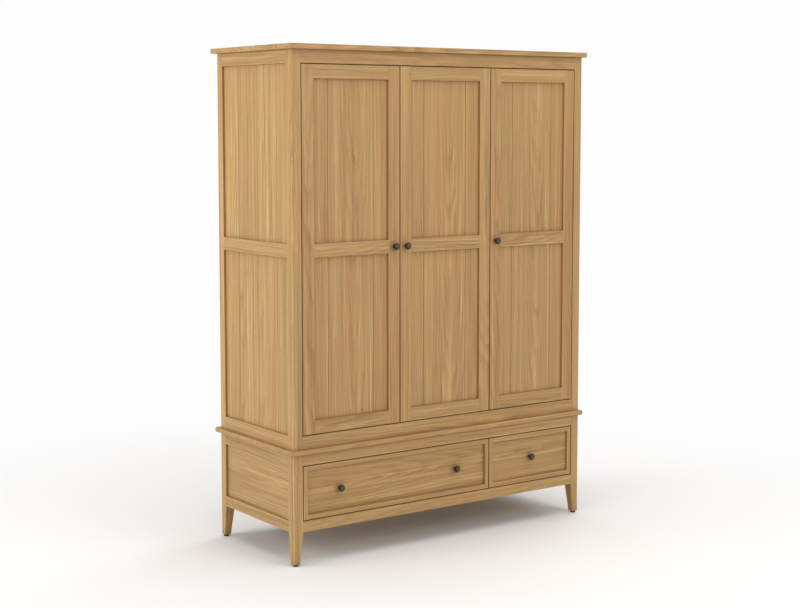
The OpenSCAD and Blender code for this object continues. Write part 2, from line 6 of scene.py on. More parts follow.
import bmesh
import bpy
from mathutils import Euler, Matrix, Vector


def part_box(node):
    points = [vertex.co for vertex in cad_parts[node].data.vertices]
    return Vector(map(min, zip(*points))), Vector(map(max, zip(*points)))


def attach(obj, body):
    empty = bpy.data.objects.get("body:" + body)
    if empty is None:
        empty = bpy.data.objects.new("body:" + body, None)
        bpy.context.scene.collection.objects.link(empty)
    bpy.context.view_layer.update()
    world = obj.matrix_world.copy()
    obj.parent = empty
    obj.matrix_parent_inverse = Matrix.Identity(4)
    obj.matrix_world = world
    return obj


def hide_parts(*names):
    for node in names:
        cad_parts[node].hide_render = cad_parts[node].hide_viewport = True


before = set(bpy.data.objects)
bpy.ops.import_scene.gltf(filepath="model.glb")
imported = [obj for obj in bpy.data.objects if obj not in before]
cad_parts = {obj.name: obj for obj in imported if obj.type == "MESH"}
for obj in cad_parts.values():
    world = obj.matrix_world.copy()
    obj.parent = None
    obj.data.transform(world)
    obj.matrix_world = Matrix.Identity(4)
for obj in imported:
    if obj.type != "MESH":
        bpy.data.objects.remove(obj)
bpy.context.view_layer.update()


# ---------- Legs ----------
# Four legs of solid oak, 40 mm square. Below the rails each is planed thinner on its two
# inner faces. Its outer corner is rounded over, and the others meet the rails nearly sharp.

LEG_CLEAR = 0.131
LEG_ROUND = 0.003
FOOT_SHARE = 27 / 40
FOOT_EASE = 0.0012
# A seam between a post and its rails is barely eased, and its edge is only a little paler, from
# slight rubbing and a faint painted highlight
SEAM_EASE, SEAM_MARK = 0.0004, 0.3
# Two points nearer than this are the same place, and edges folded less than this are flat
SAME_PLACE = 1e-4
SHARP_FOLD = 1.2

# How a board's grain is turned to lie along a log's height, and the axis it runs along
GRAIN_TURN = {"up": (0, 0, 0), "across": (0, math.pi / 2, 0), "deep": (math.pi / 2, 0, 0)}
GRAIN_AXIS = {"up": 2, "across": 0, "deep": 1}
timber = random.Random(21)
oaks = {}


def place(tree, kind, inputs=None, **settings):
    """Adds a node, with values or links for its inputs."""
    made = tree.nodes.new(kind)
    for key, value in settings.items():
        setattr(made, key, value)
    for key, value in (inputs or {}).items():
        if isinstance(value, bpy.types.NodeSocket):
            tree.links.new(value, made.inputs[key])
        else:
            made.inputs[key].default_value = value
    return made


def maths(tree, operation, first, second=0.0, third=0.0):
    """One sum on numbers, as a socket."""
    inputs = {0: first, 1: second}
    if operation == "MULTIPLY_ADD":
        inputs[2] = third
    return place(tree, "ShaderNodeMath", inputs, operation=operation).outputs[0]


def blend(tree, share, first, second, mode="MIX"):
    """Mixes two colours, as a socket."""
    inputs = {0: share, 6: first, 7: second}
    made = place(tree, "ShaderNodeMix", inputs, data_type="RGBA", blend_type=mode)
    return made.outputs[2]


def stretched_noise(tree, spot, board, scale, detail=2.0, rough=0.5):
    """Noise drawn out along the grain, different in each board."""
    drawn = place(tree, "ShaderNodeVectorMath", {0: spot, 1: scale}, operation="MULTIPLY")
    inputs = {"Vector": drawn.outputs[0], "W": board, "Scale": 1.0}
    inputs.update({"Detail": detail, "Roughness": rough})
    made = place(tree, "ShaderNodeTexNoise", inputs, noise_dimensions="4D")
    return made.outputs[0]


def span(tree, value, low, high, new_low=0.0, new_high=1.0):
    """Spreads a value from one range to another, held inside it."""
    inputs = {0: value, 1: low, 2: high, 3: new_low, 4: new_high}
    return place(tree, "ShaderNodeMapRange", inputs, clamp=True).outputs[0]


def toned(tree, value, tones):
    """Turns a value into the colours that are listed against it."""
    ramp = place(tree, "ShaderNodeValToRGB", {0: value})
    stops = ramp.color_ramp.elements
    while len(stops) < len(tones):
        stops.new(0.5)
    for stop, (at, tone) in zip(stops, tones):
        stop.position, stop.color = at, (*tone, 1)
    return ramp.outputs[0]


# How far the pith leans to each side as it climbs, and how far its rings waver
LEAN_X, LEAN_Y, WAVER = 0.022, 0.034, 0.06
# Strength of the ring mark through a year: strong at both ends, where one ring meets the next
RING_TONES = tuple((at, (grey,) * 3) for at, grey in (
    (0.0, 1.0), (0.28, 0.62), (0.58, 0.15), (0.86, 0.08), (1.0, 0.8)))
# How many marks there are in a metre, across the grain twice and then along it
WAVER_MARKS, RING_MARKS = (10, 10, 1.5), (30, 30, 1.5)
BROAD_MARKS, ROSY_MARKS, LINE_MARKS = (42, 42, 0.8), (26, 26, 0.9), (110, 110, 1.4)
PORE_MARKS, RAY_MARKS = (1500, 1500, 62), (420, 60, 95)
# How bright the wood is in each mark, and from the darkest board to the palest
LINE_TONES, BOARD_TONES = (1.20, 0.79), (0.93, 1.05)
# A pale edge mark is partly rubbed wear and partly a painted highlight; the dark seam tone marks
# glue joints and also paints the shade in a gap
PORE_TONE, RAY_TONE, RUBBED_AND_HIGHLIGHT_TONE, SEAM_AND_GAP_SHADE_TONE = 0.66, 1.05, 1.03, 0.42
# Powers that make dark marks warmer than the wood round them, in green and in blue
WARM_GREEN, WARM_BLUE = 1.18, 1.40


def make_oak_grain():
    """Figure of sawn oak: rings round a pith, streaks, fine lines, pores and rays."""
    g = bpy.data.node_groups.new("oak_grain", "ShaderNodeTree")
    sockets = (
        ("Spot", "NodeSocketVector"), ("Board", "NodeSocketFloat"), ("Edge", "NodeSocketFloat"),
        ("Light", "NodeSocketColor"), ("Dark", "NodeSocketColor"), ("Pink", "NodeSocketColor"),
        ("Ring Width", "NodeSocketFloat"), ("Ring Depth", "NodeSocketFloat"),
    )
    for name, kind in sockets:
        g.interface.new_socket(name, in_out="INPUT", socket_type=kind)
    g.interface.new_socket("Color", in_out="OUTPUT", socket_type="NodeSocketColor")
    g.interface.new_socket("Roughness", in_out="OUTPUT", socket_type="NodeSocketFloat")
    g.interface.new_socket("Height", in_out="OUTPUT", socket_type="NodeSocketFloat")
    given = g.nodes.new("NodeGroupInput").outputs
    out = g.nodes.new("NodeGroupOutput")
    spot, edge = given["Spot"], given["Edge"]
    # Boards lie far apart in the noise, so that no two look alike
    board = maths(g, "MULTIPLY", given["Board"], 90.0)

    # Rings: the distance from a leaning, wavering pith, cut into years
    xyz = place(g, "ShaderNodeSeparateXYZ", {0: spot}).outputs
    lean_x = maths(g, "MULTIPLY_ADD", xyz[2], LEAN_X, xyz[0])
    lean_y = maths(g, "MULTIPLY_ADD", xyz[2], LEAN_Y, xyz[1])
    flat = place(g, "ShaderNodeCombineXYZ", {0: lean_x, 1: lean_y}).outputs[0]
    reach = place(g, "ShaderNodeVectorMath", {0: flat}, operation="LENGTH").outputs["Value"]
    waver = stretched_noise(g, spot, board, WAVER_MARKS, 3.0, 0.5)
    reach = maths(g, "MULTIPLY_ADD", waver, WAVER, reach)
    years = maths(g, "DIVIDE", reach, given["Ring Width"])
    late = toned(g, maths(g, "FRACT", years), RING_TONES)
    strong = stretched_noise(g, spot, board, RING_MARKS, 1.0)
    rings = maths(g, "MULTIPLY", late, span(g, strong, 0.35, 0.65, 0.35, 1.0))

    # Streaks of colour, fine lines, open pores and pale rays
    broad = span(g, stretched_noise(g, spot, board, BROAD_MARKS, 4.0, 0.62), 0.38, 0.62)
    other = maths(g, "ADD", board, 7.0)
    rosy = span(g, stretched_noise(g, spot, other, ROSY_MARKS, 3.0, 0.6), 0.46, 0.64)
    lines = span(g, stretched_noise(g, spot, board, LINE_MARKS, 4.0, 0.75), 0.38, 0.62)
    dashes = span(g, stretched_noise(g, spot, board, PORE_MARKS, 1.0), 0.56, 0.66)
    pores = maths(g, "MULTIPLY", dashes, span(g, rings, 0.0, 0.8, 0.35, 1.0))
    rays = span(g, stretched_noise(g, spot, board, RAY_MARKS, 1.0), 0.64, 0.72)

    colour = blend(g, broad, given["Light"], given["Dark"])
    colour = blend(g, maths(g, "MULTIPLY", rosy, 0.75), colour, given["Pink"])
    shade = maths(g, "MULTIPLY", rings, given["Ring Depth"])
    shade = maths(g, "MULTIPLY_ADD", shade, -1.0, 1.0)
    for mark, tones in (
            (lines, LINE_TONES), (pores, (1.0, PORE_TONE)), (rays, (1.0, RAY_TONE)),
            (given["Board"], BOARD_TONES), (edge, (1.0, RUBBED_AND_HIGHLIGHT_TONE))):
        shade = maths(g, "MULTIPLY", shade, span(g, mark, 0.0, 1.0, *tones))
    # An edge mark is above zero where an edge is rubbed pale, partly wear and partly a painted
    # highlight, and below it in a dark seam or in painted shade along a gap
    shade = maths(g, "MULTIPLY", shade, span(g, edge, -1.0, 0.0, SEAM_AND_GAP_SHADE_TONE, 1.0))
    less_green = maths(g, "POWER", shade, WARM_GREEN)
    less_blue = maths(g, "POWER", shade, WARM_BLUE)
    warm = place(g, "ShaderNodeCombineXYZ", {0: shade, 1: less_green, 2: less_blue}).outputs[0]
    g.links.new(blend(g, 1.0, colour, warm, "MULTIPLY"), out.inputs["Color"])
    gloss = maths(g, "MULTIPLY_ADD", pores, 0.16, span(g, lines, 0.0, 1.0, 0.47, 0.55))
    gloss = maths(g, "MULTIPLY_ADD", edge, -0.05, gloss)
    g.links.new(gloss, out.inputs["Roughness"])
    depth = maths(g, "MULTIPLY_ADD", pores, -1.0, maths(g, "MULTIPLY", lines, -0.25))
    g.links.new(maths(g, "MULTIPLY_ADD", rings, -0.2, depth), out.inputs["Height"])
    return g


# Colours of the lacquered oak: light, dark and rosy wood, ring width and ring depth
OAK_FINISHES = {
    "oak_front": (
        (0.540, 0.358, 0.144), (0.410, 0.246, 0.089), (0.485, 0.262, 0.104), 0.0085, 0.34),
    # oak_side is a slightly paler, yellower copy of oak_front: painted light, a lit copy of the
    # front oak given to the sides
    "oak_side": (
        (0.550, 0.374, 0.152), (0.428, 0.265, 0.096), (0.500, 0.282, 0.110), 0.0085, 0.32),
    "oak_inside": (
        (0.505, 0.341, 0.143), (0.390, 0.241, 0.094), (0.450, 0.252, 0.105), 0.0075, 0.28),
}
# Painted shade: the wood's colour is darkened in corners, gaps and recesses, by how much is
# hidden within this reach; tones from a deep gap to an open face
PAINTED_SHADE_REACH = 0.060
PAINTED_SHADE_RAYS = 8
PAINTED_SHADE_TONES = (
    (0.0, (0.42, 0.26, 0.13)), (0.42, (0.78, 0.70, 0.60)), (0.75, (0.91, 0.88, 0.84)),
    (0.92, (0.97, 0.96, 0.95)), (1.0, (1.0, 1.0, 1.0)),
)
oak_grain = make_oak_grain()


def oak(finish, grain):
    """Oak in one of its finishes, with its grain up, across or deep."""
    name = finish + "_" + grain
    if name in oaks:
        return oaks[name]
    light, dark, rosy, ring_width, ring_depth = OAK_FINISHES[finish]
    m = bpy.data.materials.new(name)
    m.use_nodes = True
    t = m.node_tree
    shader = t.nodes["Principled BSDF"]
    where = place(t, "ShaderNodeTexCoord").outputs["Object"]
    stood = place(t, "ShaderNodeMapping", {"Vector": where, "Rotation": GRAIN_TURN[grain]})
    sawn = place(t, "ShaderNodeAttribute", attribute_name="sawn_at").outputs["Vector"]
    spot = place(t, "ShaderNodeVectorMath", {0: stood.outputs[0], 1: sawn}, operation="ADD")
    each = place(t, "ShaderNodeTexWhiteNoise", {"Vector": sawn}, noise_dimensions="3D")
    edge = place(t, "ShaderNodeAttribute", attribute_name="edge").outputs["Fac"]
    inputs = {
        "Spot": spot.outputs[0], "Board": each.outputs["Value"], "Edge": edge,
        "Light": (*light, 1), "Dark": (*dark, 1), "Pink": (*rosy, 1),
        "Ring Width": ring_width, "Ring Depth": ring_depth,
    }
    figure = place(t, "ShaderNodeGroup", inputs, node_tree=oak_grain)
    pits = {"Height": figure.outputs["Height"], "Strength": 0.5, "Distance": 0.0004}
    bump = place(t, "ShaderNodeBump", pits)
    # Painted shade: an occlusion lookup darkens the colour in corners, gaps and recesses
    reach = {"Distance": PAINTED_SHADE_REACH}
    corner = place(t, "ShaderNodeAmbientOcclusion", reach, samples=PAINTED_SHADE_RAYS).outputs["AO"]
    painted_shade = toned(t, corner, PAINTED_SHADE_TONES)
    colour = blend(t, 1.0, figure.outputs["Color"], painted_shade, "MULTIPLY")
    t.links.new(colour, shader.inputs["Base Color"])
    t.links.new(figure.outputs["Roughness"], shader.inputs["Roughness"])
    t.links.new(bump.outputs[0], shader.inputs["Normal"])
    shader.inputs["Specular IOR Level"].default_value = 0.35
    oaks[name] = m
    return m


def start(low, high):
    """A block between two corners, with nothing else selected."""
    bpy.ops.object.select_all(action="DESELECT")
    low, high = Vector(low), Vector(high)
    bpy.ops.mesh.primitive_cube_add(size=1, location=(low + high) / 2, scale=high - low)
    bpy.ops.object.transform_apply(location=True, rotation=True, scale=True)
    return bpy.context.object


def pick(piece, kind, wanted):
    """In edit mode, selects the piece's faces or edges that are wanted."""
    bpy.ops.mesh.select_mode(type="FACE" if kind == "faces" else "EDGE")
    bpy.ops.mesh.select_all(action="DESELECT")
    shape = bmesh.from_edit_mesh(piece.data)
    for part in getattr(shape, kind):
        if wanted(part):
            part.select_set(True)
    bmesh.update_edit_mesh(piece.data)


def along(axis):
    """Accepts an edge that runs along an axis, or near it."""
    def runs(edge):
        way = (edge.verts[1].co - edge.verts[0].co).normalized()
        return abs(way[axis]) > 0.9
    return runs


def sharp_along(axis):
    """Accepts an edge that runs along an axis and is still sharp."""
    def runs(edge):
        return along(axis)(edge) and abs(edge.calc_face_angle(0)) > SHARP_FOLD
    return runs


def ease(piece, width, wanted, steps=2, mark=1.0):
    """Rounds the wanted edges over, and gives the new faces the mark: above zero a rubbed edge
    with a painted highlight, below zero a dark seam or painted gap shade.
    """
    pick(piece, "edges", wanted)
    bpy.ops.mesh.bevel(offset=width, segments=steps, affect="EDGES", clamp_overlap=True)
    shape = bmesh.from_edit_mesh(piece.data)
    layer = shape.faces.layers.float.get("edge") or shape.faces.layers.float.new("edge")
    for face in shape.faces:
        if face.select:
            face[layer] = mark
    bmesh.update_edit_mesh(piece.data)


def saw(piece, grain, finish, sideways=None, behind=None):
    """Says where in the log a board was cut, and gives it its oak."""
    corners = [v.co for v in piece.data.vertices]
    low = Vector([min(c[i] for c in corners) for i in range(3)])
    high = Vector([max(c[i] for c in corners) for i in range(3)])
    around = [i for i in range(3) if i != GRAIN_AXIS[grain]]
    thin, wide = sorted(around, key=lambda i: (high - low)[i])
    pith = (low + high) / 2
    pith[wide] += timber.uniform(-0.16, 0.16) if sideways is None else sideways
    pith[thin] += timber.uniform(0.03, 0.16) if behind is None else behind
    pith[GRAIN_AXIS[grain]] += timber.uniform(-0.25, 0.25)
    place_in_log = -(Euler(GRAIN_TURN[grain]).to_matrix() @ pith)
    layer = piece.data.attributes.new("sawn_at", "FLOAT_VECTOR", "POINT")
    layer.data.foreach_set("vector", list(place_in_log) * len(piece.data.vertices))
    piece.data.materials.clear()
    piece.data.materials.append(oak(finish, grain))
    return piece


BOARD_EASE = 0.0008


def board(low, high, grain, finish, width=BOARD_EASE, mark=1.0, sideways=None, behind=None):
    """A planed board with its long edges eased."""
    piece = start(low, high)
    bpy.ops.object.mode_set(mode="EDIT")
    ease(piece, width, along(GRAIN_AXIS[grain]), mark=mark)
    bpy.ops.object.mode_set(mode="OBJECT")
    return saw(piece, grain, finish, sideways, behind)


def fix(name, boards, body, slot, *nodes):
    """Joins boards into one named piece that rides on a body and stands for CAD nodes."""
    bpy.ops.object.select_all(action="DESELECT")
    for b in boards:
        b.select_set(True)
    bpy.context.view_layer.objects.active = boards[0]
    if len(boards) > 1:
        bpy.ops.object.join()
    piece = bpy.context.object
    piece.name = piece.data.name = name
    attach(piece, body)
    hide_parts(*nodes)
    return piece


def outer_corner(low, high):
    """The foot of a post's corner that faces away from the middle of the wardrobe."""
    return Vector((low.x if high.x < 0 else high.x, low.y if high.y < 0 else high.y, low.z))


def round_post(piece, outer):
    """Rounds a post's outer corner, and just eases the three that meet the rails."""
    def at_corner(edge):
        middle = (edge.verts[0].co + edge.verts[1].co) / 2 - outer
        return along(2)(edge) and abs(middle.x) < 1e-3 and abs(middle.y) < 1e-3
    ease(piece, LEG_ROUND, at_corner, steps=4)
    ease(piece, SEAM_EASE, sharp_along(2), steps=1, mark=SEAM_MARK)


for node in ("leg_front_left", "leg_front_right", "leg_rear_left", "leg_rear_right"):
    low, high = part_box(node)
    outer = outer_corner(low, high)
    leg = start(low, high)
    bpy.ops.object.mode_set(mode="EDIT")
    bpy.ops.mesh.select_all(action="SELECT")
    bpy.ops.mesh.bisect(plane_co=(0, 0, LEG_CLEAR), plane_no=(0, 0, 1))
    pick(leg, "faces", lambda f: f.normal.z < -0.9)
    bpy.ops.transform.resize(value=(FOOT_SHARE, FOOT_SHARE, 1), center_override=outer)
    round_post(leg, outer)
    ease(leg, FOOT_EASE, lambda e: all(v.co.z < low.z + SAME_PLACE for v in e.verts))
    bpy.ops.object.mode_set(mode="OBJECT")
    saw(leg, "up", "oak_front")
    fix("oak_" + node, [leg], "case", "oak_front", node)


# ---------- Glides ----------
# A turned black nylon glide is pressed into the foot of each leg. It keeps the end grain
# off the floor and lets the wardrobe slide.

GLIDE_R = 0.011
# Rings of a glide: height above the floor and radius
GLIDE_PROFILE = (
    (0, 0.0085), (0.0004, 0.0098), (0.0012, 0.0107), (0.0022, GLIDE_R), (0.0062, GLIDE_R),
    (0.0074, 0.0106), (0.008, 0.0096),
)
# A texture's specks are this much finer than its clouds
SPECK_FINENESS = 18
LATHE_SMOOTH = math.radians(32)


def soft_surface(name, colour, other, rough, scale, metallic=0.0):
    """A moulded or painted surface: two close tones, a fine texture and uneven gloss."""
    m = bpy.data.materials.new(name)
    m.use_nodes = True
    t = m.node_tree
    shader = t.nodes["Principled BSDF"]
    where = place(t, "ShaderNodeTexCoord").outputs["Object"]
    clouds = {"Vector": where, "Scale": scale, "Detail": 4.0}
    cloud = place(t, "ShaderNodeTexNoise", clouds).outputs[0]
    specks = {"Vector": where, "Scale": scale * SPECK_FINENESS, "Detail": 2.0}
    speck = place(t, "ShaderNodeTexNoise", specks).outputs[0]
    tone = blend(t, span(t, cloud, 0.35, 0.65), (*colour, 1), (*other, 1))
    t.links.new(tone, shader.inputs["Base Color"])
    gloss = span(t, cloud, 0.3, 0.7, rough - 0.06, rough + 0.08)
    t.links.new(gloss, shader.inputs["Roughness"])
    grain = place(t, "ShaderNodeBump", {"Height": speck, "Strength": 0.15, "Distance": 0.0002})
    t.links.new(grain.outputs[0], shader.inputs["Normal"])
    shader.inputs["Metallic"].default_value = metallic
    return m


def turned(centre, axis, profile, sides=48):
    """Turns a piece on a lathe: rings of (distance along the axis, radius), from foot to end."""
    axis, centre = Vector(axis), Vector(centre)
    bpy.ops.object.select_all(action="DESELECT")
    bpy.ops.mesh.primitive_circle_add(
        vertices=sides, radius=profile[0][1], fill_type="NGON",
        location=centre + axis * profile[0][0],
        rotation=axis.to_track_quat("Z", "Y").to_euler())
    bpy.ops.object.transform_apply(location=True, rotation=True, scale=True)
    piece = bpy.context.object
    bpy.ops.object.mode_set(mode="EDIT")
    bpy.ops.mesh.select_mode(type="FACE")
    bpy.ops.mesh.select_all(action="SELECT")
    for (at, radius), (next_at, next_radius) in zip(profile, profile[1:]):
        move = axis * (next_at - at)
        bpy.ops.mesh.extrude_region_move(TRANSFORM_OT_translate={"value": move})
        grow = next_radius / radius
        size = [1 if abs(axis[i]) > 0.5 else grow for i in range(3)]
        bpy.ops.transform.resize(value=size, center_override=centre + axis * next_at)
    bpy.ops.mesh.select_all(action="SELECT")
    bpy.ops.mesh.remove_doubles(threshold=1e-6)
    bpy.ops.mesh.normals_make_consistent(inside=False)
    bpy.ops.object.mode_set(mode="OBJECT")
    bpy.ops.object.shade_smooth_by_angle(angle=LATHE_SMOOTH)
    return piece


def again(piece, shift):
    """A copy with its own mesh, moved by shift."""
    copy = piece.copy()
    copy.data = piece.data.copy()
    bpy.context.scene.collection.objects.link(copy)
    for v in copy.data.vertices:
        v.co += Vector(shift)
    return copy


nylon = soft_surface("black_nylon", (0.012, 0.012, 0.012), (0.022, 0.021, 0.020), 0.5, 160)
low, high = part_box("glides")
glide = turned((low.x + GLIDE_R, low.y + GLIDE_R, 0), (0, 0, 1), GLIDE_PROFILE)
glide.data.materials.append(nylon)
row = [glide, again(glide, (high.x - low.x - 2 * GLIDE_R, 0, 0))]
row += [again(g, (0, high.y - low.y - 2 * GLIDE_R, 0)) for g in row]
fix("turned_glides", row, "case", "glide_plastic", "glides")


# ---------- Rails and panels of the base ----------
# Oak rails 22 mm thick join the legs. The sides and the back hold flat panels 9 mm behind
# their faces, in grooves, and the wood of all of them runs lengthways.

BASE_RAIL_H = 0.043
POST = 0.040
RAIL_T = 0.022
RECESS = 0.009
PANEL_T = 0.008
IN_GROOVE = 0.003
# Where the log's middle lies from a base side panel's: to one side, and behind
BASE_PANEL_PITH = {"sideways": 0.02, "behind": 0.05}

case_low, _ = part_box("post_front_left")
_, case_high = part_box("post_rear_right")
left, right, front, back = case_low.x, case_high.x, case_low.y, case_high.y
rail_low, rail_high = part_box("base_front_rails")
base_levels = [rail_low.z, rail_high.z - BASE_RAIL_H]
inner_left, inner_right = left + POST, right - POST
inner_front, inner_back = front + POST, back - POST

boards = [
    board((inner_left, front, z), (inner_right, front + RAIL_T, z + BASE_RAIL_H),
          "across", "oak_front")
    for z in base_levels
]
fix("base_front_rail_boards", boards, "case", "oak_front", "base_front_rails")
boards = [
    board((x, inner_front, z), (x + RAIL_T, inner_back, z + BASE_RAIL_H), "deep", "oak_side")
    for x in (left, right - RAIL_T) for z in base_levels
]
fix("base_side_rail_boards", boards, "case", "oak_side", "base_side_rails")
boards = [
    board((inner_left, back - RAIL_T, z), (inner_right, back, z + BASE_RAIL_H),
          "across", "oak_front")
    for z in base_levels
]
fix("base_back_rail_boards", boards, "case", "oak_front", "base_back_rails")

panel_z = (base_levels[0] + BASE_RAIL_H - IN_GROOVE, base_levels[1] + IN_GROOVE)
boards = [
    board((x, inner_front - IN_GROOVE, panel_z[0]),
          (x + PANEL_T, inner_back + IN_GROOVE, panel_z[1]),
          "deep", "oak_side", **BASE_PANEL_PITH)
    for x in (left + RECESS, right - RECESS - PANEL_T)
]
fix("base_side_panel_boards", boards, "case", "oak_side", "base_side_panels")
panel_back = board(
    (inner_left - IN_GROOVE, back - RECESS - PANEL_T, panel_z[0]),
    (inner_right + IN_GROOVE, back - RECESS, panel_z[1]), "across", "oak_front")
fix("base_back_panel_board", [panel_back], "case", "oak_inside", "base_back_panel")


# ---------- Inside the base ----------
# Plain oak bearers and guides carry the drawers, kickers above them stop a pulled drawer
# from tipping, and a divider stands between the two. They are thinly lacquered.


def finish_node(name, material):
    """Gives a CAD node that already has the right shape its finish."""
    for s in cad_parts[name].material_slots:
        s.material = material


for name in ("drawer_runners", "drawer_kickers", "drawer_divider"):
    finish_node(name, oak("oak_inside", "deep"))


# ---------- Waist board ----------
# A 20 mm oak board caps the base. Its edges are rounded over on all four sides, so that it
# reads as a moulding between the base and the upper case.

# The rounded nose is made a little paler, partly rubbed wear and partly a painted highlight
NOSE_R, NOSE_MARK = 0.006, 0.35
WAIST_PITH = {"sideways": 0.1, "behind": 0.2}

low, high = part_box("waist_board")
waist = start(low, high)
bpy.ops.object.mode_set(mode="EDIT")
ease(waist, NOSE_R, lambda e: True, steps=6, mark=NOSE_MARK)
bpy.ops.object.mode_set(mode="OBJECT")
saw(waist, "across", "oak_front", **WAIST_PITH)
fix("rounded_waist_board", [waist], "case", "oak_front", "waist_board")


# ---------- Posts of the case ----------
# Four square oak posts stand on the waist board in line with the legs. Their outer corners
# are rounded over, and the rails and panels are let into them.

for node in ("post_front_left", "post_front_right", "post_rear_left", "post_rear_right"):
    low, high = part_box(node)
    post = start(low, high)
    bpy.ops.object.mode_set(mode="EDIT")
    round_post(post, outer_corner(low, high))
    bpy.ops.object.mode_set(mode="OBJECT")
    saw(post, "up", "oak_front")
    fix("oak_" + node, [post], "case", "oak_front", node)


# ---------- Rails and panels of the case ----------
# The front has a rail over and under the doors. Each side has three rails and two panels,
# glued up from four boards whose joints show as fine dark lines.

CASE_RAIL_H = 0.052
MIDDLE_RAIL_H = 0.054
# Width and tone of a glue joint's edge, and the joints' distances from the front
GLUE_EDGE, GLUE_MARK = 0.0013, -0.45
SIDE_JOINTS = (0.127, 0.272, 0.419)

low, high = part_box("case_front_rails")
case_z, door_top = low.z, high.z - CASE_RAIL_H
door_z = case_z + CASE_RAIL_H
middle_z = (door_z + door_top) / 2
boards = [
    board((inner_left, front, z), (inner_right, front + RAIL_T, z + CASE_RAIL_H),
          "across", "oak_front")
    for z in (case_z, door_top)
]
fix("case_front_rail_boards", boards, "case", "oak_front", "case_front_rails")

middle_rail = (middle_z - MIDDLE_RAIL_H / 2, middle_z + MIDDLE_RAIL_H / 2)
levels = [(case_z, CASE_RAIL_H), (middle_rail[0], MIDDLE_RAIL_H), (door_top, CASE_RAIL_H)]
boards = [
    board((x, inner_front, z), (x + RAIL_T, inner_back, z + h), "deep", "oak_side")
    for x in (left, right - RAIL_T) for z, h in levels
]
fix("case_side_rail_boards", boards, "case", "oak_side", "case_side_rails")


def staves(low, high, axis, cuts, finish, piths=None):
    """An upright panel glued up from boards, cut at the given places along an axis."""
    edges = [low[axis], *cuts, high[axis]]
    made = []
    for i, (a, b) in enumerate(zip(edges, edges[1:])):
        stave_low, stave_high = Vector(low), Vector(high)
        stave_low[axis], stave_high[axis] = a, b
        sideways, behind = piths[i] if piths else (None, None)
        made.append(board(
            stave_low, stave_high, "up", finish, GLUE_EDGE, GLUE_MARK, sideways, behind))
    return made


boards = []
for x in (left + RECESS, right - RECESS - PANEL_T):
    for a, b in ((door_z, middle_rail[0]), (middle_rail[1], door_top)):
        boards += staves(
            (x, inner_front - IN_GROOVE, a - IN_GROOVE),
            (x + PANEL_T, inner_back + IN_GROOVE, b + IN_GROOVE), 1,
            [front + joint for joint in SIDE_JOINTS], "oak_side")
fix("case_side_panel_staves", boards, "case", "oak_side", "case_side_panels")


# ---------- Back ----------
# The back is framed like the sides: two rails, two uprights in line with the door gaps, and
# three panels, each glued up from boards.

MUNTIN_W = 0.054
# Half of the gap between two doors
HALF_GAP = 0.0015
boards = [
    board((inner_left, back - RAIL_T, z), (inner_right, back, z + CASE_RAIL_H),
          "across", "oak_front")
    for z in (case_z, door_top)
]
uprights = [
    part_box(door + "_door_stiles")[0].x - HALF_GAP - MUNTIN_W / 2 for door in ("middle", "right")
]
boards += [
    board((x, back - RAIL_T, door_z), (x + MUNTIN_W, back, door_top), "up", "oak_front")
    for x in uprights
]
fix("back_frame_boards", boards, "case", "oak_front", "back_frame")
edges = [inner_left] + [e for x in uprights for e in (x, x + MUNTIN_W)] + [inner_right]
boards = []
for a, b in zip(edges[::2], edges[1::2]):
    third = (b - a) / 3
    boards += staves(
        (a - IN_GROOVE, back - RECESS - PANEL_T, door_z - IN_GROOVE),
        (b + IN_GROOVE, back - RECESS, door_top + IN_GROOVE), 0,
        [a + third, b - third], "oak_inside")
fix("back_panel_staves", boards, "case", "oak_inside", "back_panels")


# ---------- Inside the case ----------
# A floor board, an upright partition, a hat shelf and four narrow shelves of oak, on strips
# screwed to the posts and the partition.

for name, grain in (("floor_board", "across"), ("partition", "up"), ("hat_shelf", "across"),
                    ("narrow_shelves", "across"), ("shelf_cleats", "deep")):
    finish_node(name, oak("oak_inside", grain))


# ---------- Hanging rail ----------
# A steel tube with a satin chrome finish hangs under the hat shelf, in a flanged cup at each
# end. The fine marks of its polish run lengthways.


def brushed(name, colour, other, rough, stretch):
    """Plated steel with fine marks drawn out one way."""
    m = bpy.data.materials.new(name)
    m.use_nodes = True
    t = m.node_tree
    shader = t.nodes["Principled BSDF"]
    where = place(t, "ShaderNodeTexCoord").outputs["Object"]
    drawn = place(t, "ShaderNodeMapping", {"Vector": where, "Scale": stretch}).outputs[0]
    lines = {"Vector": drawn, "Scale": 1.0, "Detail": 3.0}
    marks = place(t, "ShaderNodeTexNoise", lines).outputs[0]
    clouds = {"Vector": where, "Scale": 40.0, "Detail": 3.0}
    cloud = place(t, "ShaderNodeTexNoise", clouds).outputs[0]
    tone = blend(t, span(t, cloud, 0.35, 0.65), (*colour, 1), (*other, 1))
    t.links.new(tone, shader.inputs["Base Color"])
    t.links.new(span(t, marks, 0.3, 0.7, rough - 0.08, rough + 0.1), shader.inputs["Roughness"])
    shader.inputs["Metallic"].default_value = 1.0
    bump = place(t, "ShaderNodeBump", {"Height": marks, "Strength": 0.2, "Distance": 0.0001})
    t.links.new(bump.outputs[0], shader.inputs["Normal"])
    return m


chrome = brushed("satin_chrome", (0.60, 0.60, 0.61), (0.52, 0.52, 0.54), 0.26, (8, 900, 900))
for name in ("hanging_rail", "rail_sockets"):
    finish_node(name, chrome)


# ---------- Top board ----------
# A 20 mm oak top, glued up from five boards. It stands out over the front, the sides and the
# back, and its edges are only eased.

PLANKS = 5
PLANK_SEAM, PLANK_MARK = 0.0003, -0.6
TOP_EASE = 0.0018

